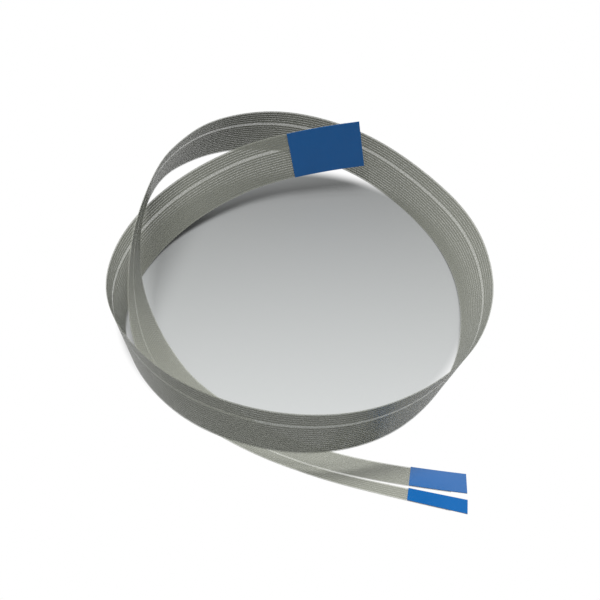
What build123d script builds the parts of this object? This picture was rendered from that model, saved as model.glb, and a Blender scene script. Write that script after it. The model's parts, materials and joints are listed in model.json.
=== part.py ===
from build123d import *
import math
import os

os.makedirs("parts", exist_ok=True)

# A flat flexible cable, coiled about one and a half turns and standing on its edge.
# Units are millimetres and degrees. +Z is up, +X right, +Y away from the front.
# Across the cable, v runs from the lower edge to the upper edge, and w runs through
# its thickness from the inner face of the ring to the outer face.

# --- Conductors and films ---
PITCH = 1.0  # from one conductor position to the next
NARROW_COUNT = 5  # conductors between the upper edge and the blank position
WIDE_COUNT = 12  # conductors between the blank position and the lower edge
CONDUCTOR_WIDTH = 0.70
CONDUCTOR_THICKNESS = 0.10
FILM_THICKNESS = 0.08
BOND_GAP = 0.015  # bond line between a conductor and the film over it

# --- Ends ---
CONTACT_LENGTH = 5.0  # bare contact at each end, on the outer face
STIFFENER_THICKNESS = 0.20
HEAD_STIFFENER_LENGTH = 28.0
TAIL_STIFFENER_LENGTH = 18.0
SLIT_LENGTH = 52.0  # from the tips back to the root of the slit
SLIT_WIDTH = 0.20
TAIL_SPLAY = 4.0  # how far the narrow tail has drifted off at its tip
TAIL_TWIST = 16.0  # how much flatter the narrow tail lies at its tip

# --- Lofting ---
STATION_STEP = 12.0  # usual distance between two cross-sections
CUT_MARGIN = 0.5  # how far a cutting block reaches past what it cuts

# Corners of the centre line, each with the lean of the cable there: 0 stands
# upright, a positive lean tips the upper edge out of the ring, and 90 lies flat.
ROUTE = [
    (24, 62, 21, 16),
    (-9, 60, 17, 17),
    (-40, 44, 13, 22),
    (-61, 20, 9, 22),
    (-67, -10, 10, 14),
    (-55, -42, 19, 4),
    (-32, -67, 26, -4),
    (0, -78, 28, -5),
    (30, -68, 22, 3),
    (54, -42, 15, 19),
    (64, -10, 10, 30),
    (61, 22, 9, 30),
    (44, 50, 9, 21),
    (22, 71, 10, 16),
    (-6, 82, 11, 9),
    (-32, 73, 17, -9),
    (-49, 48, 27, -22),
    (-56, 20, 31, -15),
    (-58, -8, 22, 8),
    (-50, -33, 9, 48),
    (-31, -53, 6, 58),
    (-5, -69, 6, 58),
    (24, -78, 6, 57),
    (52, -82, 6, 58),
]
ARC_SHARE = 0.45  # share of the shorter run that an arc takes at each corner

# --- Values that follow ---
POSITIONS = NARROW_COUNT + 1 + WIDE_COUNT
WIDTH = (POSITIONS + 1) * PITCH
HALF = WIDTH / 2
BLANK_V = HALF - (NARROW_COUNT + 1) * PITCH
FILM_NEAR = CONDUCTOR_THICKNESS / 2 + BOND_GAP
FILM_FAR = FILM_NEAR + FILM_THICKNESS
STIFFENER_NEAR = FILM_FAR + BOND_GAP
STIFFENER_FAR = STIFFENER_NEAR + STIFFENER_THICKNESS
SLIT_HALF = SLIT_WIDTH / 2


def corner_arc(before, corner, after):
    """Radius and turn of the arc that takes ARC_SHARE of the shorter run at a corner."""
    incoming, outgoing = corner - before, after - corner
    turn = math.radians(incoming.get_angle(outgoing))
    return ARC_SHARE * min(incoming.length, outgoing.length) / math.tan(turn / 2), turn


corners = [Vector(x, y, z) for x, y, z, lean in ROUTE]
leans = [lean for x, y, z, lean in ROUTE]
arcs = [corner_arc(*corners[i - 1 : i + 2]) for i in range(1, len(corners) - 1)]
radii = [radius for radius, turn in arcs]
print("corner radii, mm:", ", ".join(f"{radius:.0f}" for radius in radii))

with BuildLine() as route:
    FilletPolyline(*corners, radius=radii)
centre_line = route.wire()
LENGTH = centre_line.length
SLIT_START = LENGTH - SLIT_LENGTH
print(f"cable length, mm: {LENGTH:.1f}")


# --- The cable's frame at any distance along it ---
half_arcs = [0.0, *(radius * turn / 2 for radius, turn in arcs), 0.0]
cut_backs = [0.0, *(radius * math.tan(turn / 2) for radius, turn in arcs), 0.0]
lean_marks = [0.0]  # distance along the centre line at which each corner's lean holds
for i in range(1, len(corners)):
    straight = (corners[i] - corners[i - 1]).length - cut_backs[i - 1] - cut_backs[i]
    lean_marks.append(lean_marks[-1] + half_arcs[i - 1] + straight + half_arcs[i])


def lean_at(s):
    """Lean in degrees, eased from each corner's value to the next."""
    i = max(k for k in range(len(leans) - 1) if lean_marks[k] <= s + 1e-9)
    span = lean_marks[i + 1] - lean_marks[i]
    u = (s - lean_marks[i]) / span
    before, after = max(i - 1, 0), min(i + 2, len(leans) - 1)
    slope_in = (leans[i + 1] - leans[before]) / (lean_marks[i + 1] - lean_marks[before])
    slope_out = (leans[after] - leans[i]) / (lean_marks[after] - lean_marks[i])
    return (
        leans[i] * (1 + 2 * u) * (1 - u) ** 2
        + leans[i + 1] * u * u * (3 - 2 * u)
        + span * slope_in * u * (1 - u) ** 2
        + span * slope_out * u * u * (u - 1)
    )


def axes_at(s, extra_lean=0.0):
    """Point on the centre line, tangent, across (to the upper edge) and outward."""
    point = centre_line.position_at(s, position_mode=PositionMode.LENGTH)
    tangent = centre_line.tangent_at(s, position_mode=PositionMode.LENGTH)
    upright = (Vector(0, 0, 1) - tangent * tangent.Z).normalized()
    side = tangent.cross(upright)
    lean = math.radians(lean_at(s) + extra_lean)
    across = upright * math.cos(lean) + side * math.sin(lean)
    return point, tangent, across


def tail_share(s):
    """0 at the slit root, 1 at the tip."""
    return max(0.0, (s - SLIT_START) / SLIT_LENGTH)


def main_plane(s):
    """Cross-section plane whose local x is v and local y is w."""
    point, tangent, across = axes_at(s)
    return Plane(origin=point + to_origin, x_dir=across, z_dir=tangent)


def narrow_plane(s):
    """The same for the narrow group, which twists about the slit and drifts off."""
    share = tail_share(s)
    point, tangent, across = axes_at(s)
    twisted = axes_at(s, TAIL_TWIST * share)[2]
    hinge = point + across * (BLANK_V + TAIL_SPLAY * share * share)
    return Plane(origin=hinge - twisted * BLANK_V + to_origin, x_dir=twisted, z_dir=tangent)


def evenly(start, end):
    """Evenly spaced distances from start to end, both included."""
    count = max(2, round((end - start) / STATION_STEP))
    return [start + (end - start) * k / count for k in range(count + 1)]


# Every piece is lofted through these same cross-sections, so the layers stay parallel.
coil_stations = evenly(0, SLIT_START)
tail_stations = evenly(SLIT_START, LENGTH)

# Stand the cable on z = 0 with the middle of its outline over the origin.
to_origin = Vector(0, 0, 0)
rims = [(v, w) for v in (-HALF, HALF) for w in (-FILM_FAR, FILM_FAR)]
frames = [main_plane(s) for s in coil_stations + tail_stations]
frames += [narrow_plane(s) for s in tail_stations]
reach = [frame.from_local_coords((v, w, 0)) for frame in frames for v, w in rims]
spans = [(min(values), max(values)) for values in zip(*(tuple(p) for p in reach))]
to_origin = Vector(-sum(spans[0]) / 2, -sum(spans[1]) / 2, -spans[2][0])
print("moved to the origin by, mm:", ", ".join(f"{value:.2f}" for value in to_origin))


def band(plane_at, distances, low, high, near, far, splits=()):
    """A length of the cable: low to high across it, near to far through it."""
    across = [low, *splits, high]
    outline = [(v, near) for v in across] + [(v, far) for v in reversed(across)]
    rings = [[plane_at(s).from_local_coords(Vector(v, w, 0)) for v, w in outline] for s in distances]
    # Each side is ruled from an edge to the same edge of the next cross-section. A loft through
    # all of them can pair up the wrong corners of so thin a section, which pinches it.
    faces = [Face(Wire.make_polygon(ring, close=True)) for ring in (rings[0], rings[-1])]
    for ring, after in zip(rings, rings[1:]):
        for k in range(len(ring)):
            edge = Edge.make_line(ring[k - 1], ring[k])
            faces.append(Face.make_surface_from_curves(edge, Edge.make_line(after[k - 1], after[k])))
    return Solid(Shell(faces))


def joined(bands, webs=()):
    """One solid from bands that meet at the slit root, without the faces they share there."""
    root = main_plane(SLIT_START)
    faces = list(webs)
    for length in bands:
        for face in length.faces():
            at_root = abs(root.to_local_coords(face.center()).Z) < 1e-3
            if not (face.geom_type == GeomType.PLANE and at_root):
                faces.append(face)
    return Solid(Shell(faces))


def sheet(near, far):
    """A film over the whole length, whose end is slit into two tails."""
    low, high = BLANK_V - SLIT_HALF, BLANK_V + SLIT_HALF
    with BuildSketch(main_plane(SLIT_START), mode=Mode.PRIVATE) as web:
        with Locations((BLANK_V, (near + far) / 2)):
            Rectangle(SLIT_WIDTH, far - near)
    whole = band(main_plane, coil_stations, -HALF, HALF, near, far, (low, high))
    wide = band(main_plane, tail_stations, -HALF, low, near, far)
    narrow = band(narrow_plane, tail_stations, high, HALF, near, far)
    return joined((whole, wide, narrow), (web.sketch.face(),))


def wire_strip(plane_at, middle):
    """A flat conductor over the whole length."""
    low, high = middle - CONDUCTOR_WIDTH / 2, middle + CONDUCTOR_WIDTH / 2
    near, far = -CONDUCTOR_THICKNESS / 2, CONDUCTOR_THICKNESS / 2
    coil = band(main_plane, coil_stations, low, high, near, far)
    tail = band(plane_at, tail_stations, low, high, near, far)
    return joined((coil, tail))


# --- Films ---
with BuildPart() as inner_film:
    add(sheet(-FILM_FAR, -FILM_NEAR))
inner_film.part.label = "inner_film"
export_step(inner_film.part, "parts/inner_film.step")

BLOCK_WIDTH = WIDTH + 2 * CUT_MARGIN
BLOCK_THICKNESS = 2 * (STIFFENER_FAR + CUT_MARGIN)
with BuildPart() as outer_film:
    add(sheet(FILM_NEAR, FILM_FAR))
    # The contacts are bare on this face at the head and at both tips.
    with BuildSketch(main_plane(0)):
        Rectangle(BLOCK_WIDTH, BLOCK_THICKNESS)
    extrude(amount=CONTACT_LENGTH, mode=Mode.SUBTRACT)
    with BuildSketch(main_plane(LENGTH)):
        with Locations((TAIL_SPLAY / 2, 0)):
            Rectangle(BLOCK_WIDTH + TAIL_SPLAY, 3 * BLOCK_THICKNESS)
    extrude(amount=-CONTACT_LENGTH, mode=Mode.SUBTRACT)
outer_film.part.label = "outer_film"
export_step(outer_film.part, "parts/outer_film.step")

# --- Conductors, numbered from the upper edge down ---
for position in range(1, POSITIONS + 1):
    if position == NARROW_COUNT + 1:
        continue  # the blank position, where the slit runs
    in_narrow = position <= NARROW_COUNT
    number = position if in_narrow else position - NARROW_COUNT - 1
    name = f"conductor_{'n' if in_narrow else 'w'}{number}"
    with BuildPart() as conductor:
        add(wire_strip(narrow_plane if in_narrow else main_plane, HALF - PITCH * position))
    conductor.part.label = name
    export_step(conductor.part, f"parts/{name}.step")

# --- Stiffeners, on the inner face ---
with BuildPart() as head_stiffener:
    add(band(main_plane, coil_stations, -HALF, HALF, -STIFFENER_FAR, -STIFFENER_NEAR))
    with BuildSketch(main_plane(0)):
        Rectangle(BLOCK_WIDTH, 5 * BLOCK_THICKNESS)
    extrude(amount=HEAD_STIFFENER_LENGTH, mode=Mode.INTERSECT)
head_stiffener.part.label = "head_stiffener"
export_step(head_stiffener.part, "parts/head_stiffener.step")

with BuildPart() as wide_tail_stiffener:
    add(band(main_plane, tail_stations, -HALF, BLANK_V - SLIT_HALF, -STIFFENER_FAR, -STIFFENER_NEAR))
    with BuildSketch(main_plane(LENGTH)):
        Rectangle(BLOCK_WIDTH, 5 * BLOCK_THICKNESS)
    extrude(amount=-TAIL_STIFFENER_LENGTH, mode=Mode.INTERSECT)
wide_tail_stiffener.part.label = "wide_tail_stiffener"
export_step(wide_tail_stiffener.part, "parts/wide_tail_stiffener.step")

with BuildPart() as narrow_tail_stiffener:
    add(band(narrow_plane, tail_stations, BLANK_V + SLIT_HALF, HALF, -STIFFENER_FAR, -STIFFENER_NEAR))
    with BuildSketch(narrow_plane(LENGTH)):
        with Locations((TAIL_SPLAY, 0)):
            Rectangle(BLOCK_WIDTH + TAIL_SPLAY, 5 * BLOCK_THICKNESS)
    extrude(amount=-TAIL_STIFFENER_LENGTH, mode=Mode.INTERSECT)
narrow_tail_stiffener.part.label = "narrow_tail_stiffener"
export_step(narrow_tail_stiffener.part, "parts/narrow_tail_stiffener.step")
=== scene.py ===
import json
import math

import bmesh
import bpy
import numpy as np
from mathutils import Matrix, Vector

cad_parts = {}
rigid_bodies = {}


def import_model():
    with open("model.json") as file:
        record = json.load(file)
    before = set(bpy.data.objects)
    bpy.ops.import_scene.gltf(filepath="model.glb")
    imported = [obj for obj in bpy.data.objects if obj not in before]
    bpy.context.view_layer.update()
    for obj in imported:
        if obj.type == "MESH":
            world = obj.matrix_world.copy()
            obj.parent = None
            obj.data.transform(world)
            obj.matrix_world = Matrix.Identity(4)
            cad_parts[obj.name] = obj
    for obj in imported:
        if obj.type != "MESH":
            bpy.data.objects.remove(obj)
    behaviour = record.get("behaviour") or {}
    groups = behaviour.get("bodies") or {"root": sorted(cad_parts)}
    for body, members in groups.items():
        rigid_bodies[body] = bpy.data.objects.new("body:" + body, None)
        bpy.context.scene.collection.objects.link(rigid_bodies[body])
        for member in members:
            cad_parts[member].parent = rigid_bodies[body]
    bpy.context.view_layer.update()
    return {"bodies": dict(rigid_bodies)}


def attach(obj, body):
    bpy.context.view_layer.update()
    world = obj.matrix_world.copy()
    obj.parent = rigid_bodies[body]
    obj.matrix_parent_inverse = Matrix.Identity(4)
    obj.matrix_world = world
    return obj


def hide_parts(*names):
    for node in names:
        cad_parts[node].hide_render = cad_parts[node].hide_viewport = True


bl_info = {
    "name": "Coiled flat flexible cable",
    "version": (1, 0, 0),
    "blender": (4, 5, 0),
    "location": "View3D > Sidebar > Cable",
    "description": "Builds a coiled ribbon cable with a slit end, and a pale studio",
    "category": "Object",
}

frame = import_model()
BODY = next(iter(frame["bodies"]))  # the cable is one body

# Corners of the cable's line in metres, and the lean of the cable at each in degrees:
# 0 stands upright, a positive lean tips the upper edge out of the ring.
ROUTE = [
    (0.024, 0.062, 0.021),
    (-0.009, 0.060, 0.017),
    (-0.040, 0.044, 0.013),
    (-0.061, 0.020, 0.009),
    (-0.067, -0.010, 0.010),
    (-0.055, -0.042, 0.019),
    (-0.032, -0.067, 0.026),
    (0.000, -0.078, 0.028),
    (0.030, -0.068, 0.022),
    (0.054, -0.042, 0.015),
    (0.064, -0.010, 0.010),
    (0.061, 0.022, 0.009),
    (0.044, 0.050, 0.009),
    (0.022, 0.071, 0.010),
    (-0.006, 0.082, 0.011),
    (-0.032, 0.073, 0.017),
    (-0.049, 0.048, 0.027),
    (-0.056, 0.020, 0.031),
    (-0.058, -0.008, 0.022),
    (-0.050, -0.033, 0.009),
    (-0.031, -0.053, 0.006),
    (-0.005, -0.069, 0.006),
    (0.024, -0.078, 0.006),
    (0.052, -0.082, 0.006),
]
LEANS = [16, 17, 22, 22, 14, 4, -4, -5, 3, 19, 30, 30, 21, 16, 9, -9, -22, -15, 8, 48, 58, 58, 57, 58]
TO_ORIGIN = np.array((-0.00009, 0.00649, -0.00021))
NARROW_COUNT = 5
WIDE_COUNT = 12
POSITIONS = NARROW_COUNT + 1 + WIDE_COUNT
STEPS = 900  # cross-sections of a visual strip along the whole cable
SAMPLES = 3000  # samples of the line
TANGENT_SPAN = 61  # samples that the line's direction is smoothed over
LEAN_SPAN = 121  # samples that the lean is smoothed over
SHARP_ANGLE = math.radians(30)

# The camera stands in front of the coil and looks down on its middle.
CAMERA_AT = (0.0, -0.24657, 0.29283)
CAMERA_DOWN = 49.9
CAMERA_LENS = 62.65
# The floor is plainly shaded inside the ring, and turns white between these two radii.
RING_INSIDE = 0.061
RING_OUTSIDE = 0.067
RING_MIDDLE = np.array((-0.0018, 0.0037, 0.0)) + TO_ORIGIN * (1, 1, 0)


class CableSizes(bpy.types.PropertyGroup):
    """Sizes of the cable's layers and ends."""

    pitch: bpy.props.FloatProperty(
        name="Pitch", description="Distance between conductors", default=0.001, unit="LENGTH")
    conductor_width: bpy.props.FloatProperty(
        name="Conductor width", description="Width of a conductor", default=0.0007, unit="LENGTH")
    conductor_thickness: bpy.props.FloatProperty(
        name="Conductor thickness", description="Thickness of a conductor", default=0.0001, unit="LENGTH")
    film_thickness: bpy.props.FloatProperty(
        name="Film thickness", description="Thickness of each film", default=0.00008, unit="LENGTH")
    bond_gap: bpy.props.FloatProperty(
        name="Bond gap", description="Bond line beside a conductor", default=0.000015, unit="LENGTH")
    stiffener_thickness: bpy.props.FloatProperty(
        name="Stiffener thickness", description="Thickness of a stiffener", default=0.0002, unit="LENGTH")
    head_stiffener: bpy.props.FloatProperty(
        name="Head stiffener", description="Length of the head stiffener", default=0.028, unit="LENGTH")
    tail_stiffener: bpy.props.FloatProperty(
        name="Tail stiffener", description="Length of the tail stiffeners", default=0.018, unit="LENGTH")
    contact: bpy.props.FloatProperty(
        name="Contact", description="Length of bare contact", default=0.005, unit="LENGTH")
    slit: bpy.props.FloatProperty(
        name="Slit", description="Length of the slit from the tips", default=0.052, unit="LENGTH")
    slit_width: bpy.props.FloatProperty(
        name="Slit width", description="Width of the slit", default=0.0002, unit="LENGTH")
    splay: bpy.props.FloatProperty(
        name="Splay", description="Drift of the narrow tail at its tip", default=0.004, unit="LENGTH")
    twist: bpy.props.FloatProperty(
        name="Twist", description="Extra lean of the narrow tail at its tip",
        default=math.radians(16), subtype="ANGLE")


class CableLooks(bpy.types.PropertyGroup):
    """Colours of the cable and the studio."""

    film: bpy.props.FloatVectorProperty(
        name="Film", description="Colour of the films", default=(0.44, 0.45, 0.39), subtype="COLOR")
    film_alpha: bpy.props.FloatProperty(
        name="Film cover", description="How much a film hides", default=0.34, subtype="FACTOR")
    conductor: bpy.props.FloatVectorProperty(
        name="Conductor", description="Colour of the conductors", default=(0.20, 0.205, 0.18), subtype="COLOR")
    stiffener: bpy.props.FloatVectorProperty(
        name="Stiffener", description="Colour of the stiffeners", default=(0.001, 0.10, 0.33), subtype="COLOR")
    # Painted shade: the floor is seen only inside the ring, and its dark grey colour there stands in for the
    # ring's shade, on top of the real shadow of the key light.
    floor: bpy.props.FloatVectorProperty(
        name="Floor", description="Colour of the floor", default=(0.34, 0.35, 0.35), subtype="COLOR")
    key_power: bpy.props.FloatProperty(
        name="Key light", description="Power of the light above", default=13.0, unit="POWER")
    sky: bpy.props.FloatProperty(
        name="Sky", description="Strength of the even light", default=0.24)


def sizes():
    return bpy.context.scene.cable_sizes


def looks():
    return bpy.context.scene.cable_looks


def line_points():
    """Points of the cable's line, read from a quadratic NURBS curve through the route."""
    curve = bpy.data.curves.new("cable_line", "CURVE")
    curve.dimensions = "3D"
    curve.resolution_u = 24
    spline = curve.splines.new("NURBS")
    spline.points.add(len(ROUTE) - 1)
    for point, corner in zip(spline.points, ROUTE):
        point.co = (*(np.array(corner) + TO_ORIGIN), 1.0)
    spline.order_u = 3
    spline.use_endpoint_u = True
    holder = bpy.data.objects.new("cable_line", curve)
    bpy.context.scene.collection.objects.link(holder)
    depsgraph = bpy.context.evaluated_depsgraph_get()
    mesh = bpy.data.meshes.new_from_object(holder.evaluated_get(depsgraph))
    points = np.zeros(len(mesh.vertices) * 3)
    mesh.vertices.foreach_get("co", points)
    bpy.data.objects.remove(holder)
    bpy.data.meshes.remove(mesh)
    bpy.data.curves.remove(curve)
    return points.reshape(-1, 3)


def unit(vectors):
    return vectors / np.linalg.norm(vectors, axis=-1, keepdims=True)


def smoothed(values, span):
    """Running mean with a bell-shaped weight over span samples, the ends held."""
    weight = np.hanning(span)
    weight /= weight.sum()
    held = np.concatenate((np.full(span // 2, values[0]), values, np.full(span // 2, values[-1])))
    return np.convolve(held, weight, "valid")


class Line:
    """The cable's line with its lean, sampled evenly along its length."""

    def __init__(self):
        points = line_points()
        steps = np.linalg.norm(np.diff(points, axis=0), axis=1)
        along = np.concatenate(([0.0], np.cumsum(steps)))
        self.length = along[-1]
        # Control point i of the curve acts at parameter i - 1/2, and the ends at the ends.
        knots = np.clip(np.arange(len(ROUTE)) - 0.5, 0, len(ROUTE) - 2)
        parameter = np.linspace(0, len(ROUTE) - 2, len(points))
        self.marks = np.interp(knots, parameter, along)
        self.s = np.linspace(0, self.length, SAMPLES)
        self.point = np.stack([np.interp(self.s, along, points[:, k]) for k in range(3)], 1)
        tangent = unit(np.gradient(self.point, axis=0))
        self.tangent = unit(np.stack([smoothed(tangent[:, k], TANGENT_SPAN) for k in range(3)], 1))
        lean = np.interp(self.s, self.marks, LEANS)
        self.lean = np.radians(smoothed(lean, LEAN_SPAN))

    def frame(self, s, extra_lean=0.0):
        """Point, across and outward axes at the distances s, in the row frame."""
        point = np.stack([np.interp(s, self.s, self.point[:, k]) for k in range(3)], 1)
        tangent = unit(np.stack([np.interp(s, self.s, self.tangent[:, k]) for k in range(3)], 1))
        lean = np.interp(s, self.s, self.lean) + extra_lean
        upright = np.array((0.0, 0.0, 1.0)) - tangent * tangent[:, 2:]
        upright = unit(upright)
        side = np.cross(tangent, upright)
        across = upright * np.cos(lean)[:, None] + side * np.sin(lean)[:, None]
        return point, across, np.cross(tangent, across)


def place(line, s, v, w, narrow=False):
    """Surface points at distance s, v across and w through the cable.

    The point is line(s) + v across(s) + w outward(s). On the narrow tail, across turns
    about the slit by the twist, and the tail drifts off by the splay times the square
    of the share of the slit that s has passed.
    """
    size = sizes()
    half = (POSITIONS + 1) * size.pitch / 2
    blank = half - (NARROW_COUNT + 1) * size.pitch
    point, across, outward = line.frame(s)
    if not narrow:
        return point + across * v + outward * w
    share = np.clip((s - (line.length - size.slit)) / size.slit, 0, 1)
    _, turned, turned_out = line.frame(s, size.twist * share)
    hinge = point + across * (blank + size.splay * share**2)[:, None]
    return hinge + turned * (v - blank) + turned_out * w


def strip_mesh(name, line, parts):
    """A closed mesh of one or more flat bands.

    Each part is (start, end, low, high, near, far, narrow). Its cross-section is a
    rectangle with four corners, and its surface is place(s, v, w) over that outline.
    """
    vertices, faces, count = [], [], 0
    for start, end, low, high, near, far, narrow in parts:
        rings = max(8, int(STEPS * (end - start) / line.length))
        s = np.linspace(start, end, rings)
        outline = [(low, near), (high, near), (high, far), (low, far)]
        grid = np.stack([place(line, s, v, w, narrow) for v, w in outline], 1)
        n = len(outline)
        ring, corner = np.meshgrid(np.arange(rings - 1), np.arange(n), indexing="ij")
        after = (corner + 1) % n
        base = count + ring * n
        quads = np.stack((base + corner, base + after, base + n + after, base + n + corner), -1)
        faces += quads.reshape(-1, 4)[:, ::-1].tolist()
        faces.append([count + k for k in range(n)])
        faces.append([count + (rings - 1) * n + k for k in reversed(range(n))])
        vertices.append(grid.reshape(-1, 3))
        count += rings * n
    mesh = bpy.data.meshes.new(name)
    mesh.from_pydata(np.concatenate(vertices).tolist(), [], faces)
    mesh.validate()
    mesh.polygons.foreach_set("use_smooth", np.ones(len(mesh.polygons), dtype=bool))
    mesh.set_sharp_from_angle(angle=SHARP_ANGLE)
    mesh.update()
    piece = bpy.data.objects.new(name, mesh)
    bpy.context.scene.collection.objects.link(piece)
    return piece


def face_outwards(piece):
    """Turn every face of a closed mesh outwards."""
    work = bmesh.new()
    work.from_mesh(piece.data)
    bmesh.ops.recalc_face_normals(work, faces=work.faces)
    work.to_mesh(piece.data)
    work.free()


def grain_group():
    """Fine wear: a colour and a roughness that vary a little over the surface."""
    name = "Surface grain"
    if name in bpy.data.node_groups:
        return bpy.data.node_groups[name]
    group = bpy.data.node_groups.new(name, "ShaderNodeTree")
    face = group.interface
    face.new_socket("Color", in_out="INPUT", socket_type="NodeSocketColor")
    face.new_socket("Roughness", in_out="INPUT", socket_type="NodeSocketFloat")
    face.new_socket("Scale", in_out="INPUT", socket_type="NodeSocketFloat")
    face.new_socket("Amount", in_out="INPUT", socket_type="NodeSocketFloat")
    face.new_socket("Color", in_out="OUTPUT", socket_type="NodeSocketColor")
    face.new_socket("Roughness", in_out="OUTPUT", socket_type="NodeSocketFloat")
    nodes, links = group.nodes, group.links
    inputs = nodes.new("NodeGroupInput")
    outputs = nodes.new("NodeGroupOutput")
    place_on = nodes.new("ShaderNodeTexCoord")
    noise = nodes.new("ShaderNodeTexNoise")
    noise.inputs["Detail"].default_value = 3.0
    links.new(place_on.outputs["Object"], noise.inputs["Vector"])
    links.new(inputs.outputs["Scale"], noise.inputs["Scale"])
    centred = nodes.new("ShaderNodeMath")
    centred.operation = "SUBTRACT"
    centred.inputs[1].default_value = 0.5
    links.new(noise.outputs["Fac"], centred.inputs[0])
    change = nodes.new("ShaderNodeMath")
    change.operation = "MULTIPLY"
    links.new(centred.outputs[0], change.inputs[0])
    links.new(inputs.outputs["Amount"], change.inputs[1])
    factor = nodes.new("ShaderNodeMath")
    factor.operation = "ADD"
    factor.inputs[1].default_value = 1.0
    links.new(change.outputs[0], factor.inputs[0])
    tint = nodes.new("ShaderNodeVectorMath")
    tint.operation = "SCALE"
    links.new(inputs.outputs["Color"], tint.inputs[0])
    links.new(factor.outputs[0], tint.inputs["Scale"])
    rough = nodes.new("ShaderNodeMath")
    rough.operation = "MULTIPLY"
    links.new(inputs.outputs["Roughness"], rough.inputs[0])
    links.new(factor.outputs[0], rough.inputs[1])
    links.new(tint.outputs[0], outputs.inputs["Color"])
    links.new(rough.outputs[0], outputs.inputs["Roughness"])
    return group


def material(name, colour, roughness, grain_scale, grain_amount, metallic=0.0, alpha=1.0):
    """A Principled material whose colour and roughness carry the shared grain."""
    made = bpy.data.materials.new(name)
    made.use_nodes = True
    nodes, links = made.node_tree.nodes, made.node_tree.links
    shader = nodes["Principled BSDF"]
    shader.inputs["Metallic"].default_value = metallic
    shader.inputs["Alpha"].default_value = alpha
    grain = nodes.new("ShaderNodeGroup")
    grain.node_tree = grain_group()
    grain.inputs["Color"].default_value = (*colour, 1.0)
    grain.inputs["Roughness"].default_value = roughness
    grain.inputs["Scale"].default_value = grain_scale
    grain.inputs["Amount"].default_value = grain_amount
    links.new(grain.outputs["Color"], shader.inputs["Base Color"])
    links.new(grain.outputs["Roughness"], shader.inputs["Roughness"])
    return made


def dress(piece, made, node):
    """Give a piece its material and slot, and let it stand for its CAD node."""
    face_outwards(piece)
    piece.data.materials.append(made)
    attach(piece, BODY)
    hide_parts(node)


def layers():
    """Limits of the layers through the cable, and across it."""
    size = sizes()
    half = (POSITIONS + 1) * size.pitch / 2
    blank = half - (NARROW_COUNT + 1) * size.pitch
    near = size.conductor_thickness / 2 + size.bond_gap
    return half, blank, near, near + size.film_thickness


class CABLE_OT_films(bpy.types.Operator):
    """Build the two films, each one sheet slit into two tails"""

    bl_idname = "cable.films"
    bl_label = "Films"

    def execute(self, context):
        size, look, line = sizes(), looks(), Line()
        half, blank, near, far = layers()
        split = line.length - size.slit
        low, high = blank - size.slit_width / 2, blank + size.slit_width / 2
        film = material("film", look.film, 0.28, 60.0, 0.12, alpha=look.film_alpha)
        for name, start, end, a, b in (
            ("inner_film", 0.0, line.length, -far, -near),
            ("outer_film", size.contact, line.length - size.contact, near, far),
        ):
            piece = strip_mesh("visual_" + name, line, [
                (start, split, -half, half, a, b, False),
                (split, end, -half, low, a, b, False),
                (split, end, high, half, a, b, True),
            ])
            dress(piece, film, name)
        return {"FINISHED"}


class CABLE_OT_conductors(bpy.types.Operator):
    """Build the flat conductors of both groups"""

    bl_idname = "cable.conductors"
    bl_label = "Conductors"

    def execute(self, context):
        size, look, line = sizes(), looks(), Line()
        half = layers()[0]
        metal = material("tinned_conductor", look.conductor, 0.42, 90.0, 0.2, metallic=0.35)
        for position in range(1, POSITIONS + 1):
            if position == NARROW_COUNT + 1:
                continue
            narrow = position <= NARROW_COUNT
            number = position if narrow else position - NARROW_COUNT - 1
            node = f"conductor_{'n' if narrow else 'w'}{number}"
            middle = half - size.pitch * position
            low, high = middle - size.conductor_width / 2, middle + size.conductor_width / 2
            near, far = -size.conductor_thickness / 2, size.conductor_thickness / 2
            part = (0.0, line.length, low, high, near, far, narrow)
            piece = strip_mesh("visual_" + node, line, [part])
            dress(piece, metal, node)
        return {"FINISHED"}


class CABLE_OT_stiffeners(bpy.types.Operator):
    """Build the blue stiffeners on the inner face of each end"""

    bl_idname = "cable.stiffeners"
    bl_label = "Stiffeners"

    def execute(self, context):
        size, look, line = sizes(), looks(), Line()
        half, blank, near, far = layers()
        outer = -(far + size.bond_gap + size.stiffener_thickness)
        inner = -(far + size.bond_gap)
        low, high = blank - size.slit_width / 2, blank + size.slit_width / 2
        tail = line.length - size.tail_stiffener
        blue = material("blue_stiffener", look.stiffener, 0.33, 120.0, 0.15)
        for node, start, end, a, b, narrow in (
            ("head_stiffener", 0.0, size.head_stiffener, -half, half, False),
            ("wide_tail_stiffener", tail, line.length, -half, low, False),
            ("narrow_tail_stiffener", tail, line.length, high, half, True),
        ):
            piece = strip_mesh("visual_" + node, line, [(start, end, a, b, outer, inner, narrow)])
            dress(piece, blue, node)
        return {"FINISHED"}


class CABLE_OT_declare(bpy.types.Operator):
    bl_idname = "cable.declare"
    bl_label = "Free cable"

    def execute(self, context):
        line = Line()
        built = [o for o in bpy.data.objects if o.name.startswith("visual_")]
        others = [o for o in built if o.name != "visual_inner_film"]
        if len(others) != POSITIONS + 3:
            raise RuntimeError("build the films, conductors and stiffeners first")
        return {"FINISHED"}


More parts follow.
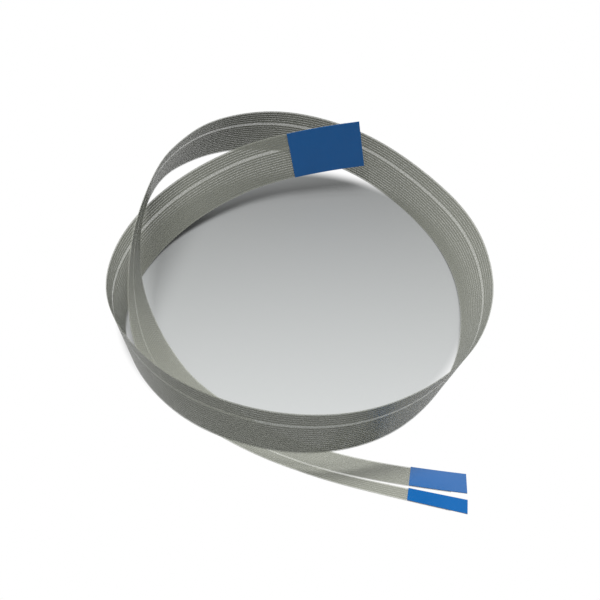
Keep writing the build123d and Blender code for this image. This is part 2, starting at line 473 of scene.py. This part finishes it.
class CABLE_OT_stage(bpy.types.Operator):
    """Set up the floor, the light, the sky and the camera"""

    bl_idname = "cable.stage"
    bl_label = "Stage"

    def execute(self, context):
        look, scene = looks(), context.scene
        mesh = bpy.data.meshes.new("floor")
        reach = 6.0
        corners = [(-reach, -reach, 0), (reach, -reach, 0), (reach, reach, 0), (-reach, reach, 0)]
        mesh.from_pydata(corners, [], [(0, 1, 2, 3)])
        floor = bpy.data.objects.new("floor", mesh)
        scene.collection.objects.link(floor)
        made = bpy.data.materials.new("floor")
        made.use_nodes = True
        nodes, links = made.node_tree.nodes, made.node_tree.links
        shader = nodes["Principled BSDF"]
        shader.inputs["Roughness"].default_value = 0.6
        place_on = nodes.new("ShaderNodeTexCoord")
        # Painted shade: the floor's colour darkens towards the back of the ring, standing in for the shadow
        # that the ring's back wall casts inside it.
        apart = nodes.new("ShaderNodeSeparateXYZ")
        links.new(place_on.outputs["Object"], apart.inputs[0])
        # Painted shade factor: 1.25 at the front of the ring down to 0.45 at its back.
        painted_shade = nodes.new("ShaderNodeMapRange")
        painted_shade.inputs["From Min"].default_value = -0.05
        painted_shade.inputs["From Max"].default_value = 0.075
        painted_shade.inputs["To Min"].default_value = 1.25
        painted_shade.inputs["To Max"].default_value = 0.45
        links.new(apart.outputs["Y"], painted_shade.inputs["Value"])
        floor_with_painted_shade = nodes.new("ShaderNodeVectorMath")
        floor_with_painted_shade.operation = "SCALE"
        floor_with_painted_shade.inputs[0].default_value = look.floor
        links.new(painted_shade.outputs["Result"], floor_with_painted_shade.inputs["Scale"])
        links.new(floor_with_painted_shade.outputs[0], shader.inputs["Base Color"])
        away = nodes.new("ShaderNodeVectorMath")
        away.operation = "DISTANCE"
        away.inputs[1].default_value = RING_MIDDLE
        links.new(place_on.outputs["Object"], away.inputs[0])
        outside = nodes.new("ShaderNodeMapRange")
        outside.interpolation_type = "SMOOTHSTEP"
        outside.inputs["From Min"].default_value = RING_INSIDE
        outside.inputs["From Max"].default_value = RING_OUTSIDE
        links.new(away.outputs["Value"], outside.inputs["Value"])
        seen = nodes.new("ShaderNodeLightPath")
        shown = seen.outputs["Is Camera Ray"]
        for kind in ("Is Glossy Ray", "Is Transmission Ray"):
            either = nodes.new("ShaderNodeMath")
            either.operation = "MAXIMUM"
            links.new(shown, either.inputs[0])
            links.new(seen.outputs[kind], either.inputs[1])
            shown = either.outputs[0]
        both = nodes.new("ShaderNodeMath")
        both.operation = "MULTIPLY"
        links.new(outside.outputs["Result"], both.inputs[0])
        links.new(shown, both.inputs[1])
        white = nodes.new("ShaderNodeEmission")
        white.inputs["Color"].default_value = (1.0, 1.0, 1.0, 1.0)
        mix = nodes.new("ShaderNodeMixShader")
        links.new(both.outputs[0], mix.inputs["Fac"])
        links.new(shader.outputs["BSDF"], mix.inputs[1])
        links.new(white.outputs["Emission"], mix.inputs[2])
        links.new(mix.outputs[0], nodes["Material Output"].inputs["Surface"])
        mesh.materials.append(made)

        key_data = bpy.data.lights.new("key", "AREA")
        key_data.energy = look.key_power
        key_data.size = 0.55
        key = bpy.data.objects.new("key", key_data)
        key.location = (0.0, 0.12, 0.95)
        key.rotation_euler = (Vector((0, 0, 0)) - key.location).to_track_quat("-Z", "Y").to_euler()
        scene.collection.objects.link(key)

        world = bpy.data.worlds.new("sky")
        scene.world = world
        world.use_nodes = True
        nodes, links = world.node_tree.nodes, world.node_tree.links
        nodes["Background"].inputs["Color"].default_value = (1.0, 1.0, 1.0, 1.0)
        # The sky looks white to the camera and lights the cable at its own strength.
        strength = nodes.new("ShaderNodeMapRange")
        strength.inputs["To Min"].default_value = look.sky
        strength.inputs["To Max"].default_value = 1.0
        links.new(nodes.new("ShaderNodeLightPath").outputs["Is Camera Ray"], strength.inputs["Value"])
        links.new(strength.outputs["Result"], nodes["Background"].inputs["Strength"])

        camera_data = bpy.data.cameras.new("camera")
        camera_data.lens = CAMERA_LENS
        camera_data.sensor_width = 36.0
        camera = bpy.data.objects.new("camera", camera_data)
        camera.location = np.array(CAMERA_AT) + TO_ORIGIN
        camera.rotation_euler = (math.radians(90 - CAMERA_DOWN), 0.0, 0.0)
        scene.collection.objects.link(camera)
        scene.camera = camera

        scene.view_settings.view_transform = "Standard"
        return {"FINISHED"}


class CABLE_PT_panel(bpy.types.Panel):
    """The cable's operators in the 3D view's sidebar"""

    bl_idname = "CABLE_PT_panel"
    bl_label = "Cable"
    bl_space_type = "VIEW_3D"
    bl_region_type = "UI"
    bl_category = "Cable"

    def draw(self, context):
        for operator in OPERATORS:
            self.layout.operator(operator.bl_idname)


OPERATORS = (CABLE_OT_films, CABLE_OT_conductors, CABLE_OT_stiffeners, CABLE_OT_declare, CABLE_OT_stage)
CLASSES = (CableSizes, CableLooks, *OPERATORS, CABLE_PT_panel)


def register():
    for cls in CLASSES:
        bpy.utils.register_class(cls)
    bpy.types.Scene.cable_sizes = bpy.props.PointerProperty(type=CableSizes)
    bpy.types.Scene.cable_looks = bpy.props.PointerProperty(type=CableLooks)


def unregister():
    del bpy.types.Scene.cable_looks
    del bpy.types.Scene.cable_sizes
    for cls in reversed(CLASSES):
        bpy.utils.unregister_class(cls)


def main():
    register()
    bpy.ops.cable.films()
    bpy.ops.cable.conductors()
    bpy.ops.cable.stiffeners()
    bpy.ops.cable.declare()
    bpy.ops.cable.stage()


if __name__ == "__main__":
    main()
